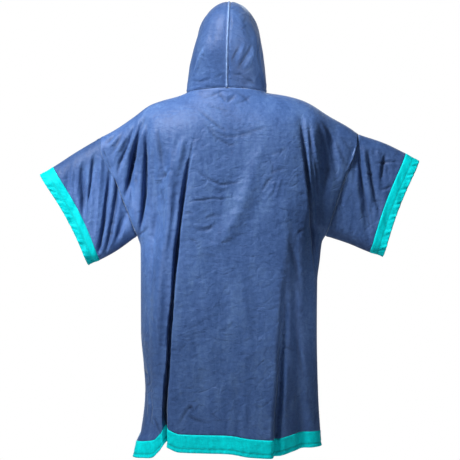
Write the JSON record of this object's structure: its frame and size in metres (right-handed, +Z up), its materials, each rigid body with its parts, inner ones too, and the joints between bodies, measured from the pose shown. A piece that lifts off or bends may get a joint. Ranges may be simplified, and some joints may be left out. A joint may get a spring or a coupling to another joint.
{
  "type": "hooded bath poncho",
  "caption": "Hooded bath and changing poncho of soft cloth, worn with the arms held out, with short wide sleeves, contrast hem and cuffs, and side slits.",
  "frame": {"origin": "middle of the neck opening, level with the neck ends of the shoulder seams, where the wearer's shoulders hold the garment up", "axes": "+Z up, +Y the way the wearer faces, +X the wearer's right; the picture looks along +Y at the garment's back"},
  "size_m": [1.041, 0.2628, 1.2462],
  "materials": {
    "blue_cloth": "matt short nap",
    "teal_cloth": "matt short nap"
  },
  "bodies": {
    "root": {"back_panel": "blue_cloth", "front_panel": "blue_cloth", "left_sleeve": "blue_cloth", "right_sleeve": "blue_cloth", "left_hood_half": "blue_cloth", "right_hood_half": "blue_cloth", "back_hem_band": "teal_cloth", "front_hem_band": "teal_cloth", "left_cuff_band": "teal_cloth", "right_cuff_band": "teal_cloth"}
  },
  "joints": []
}
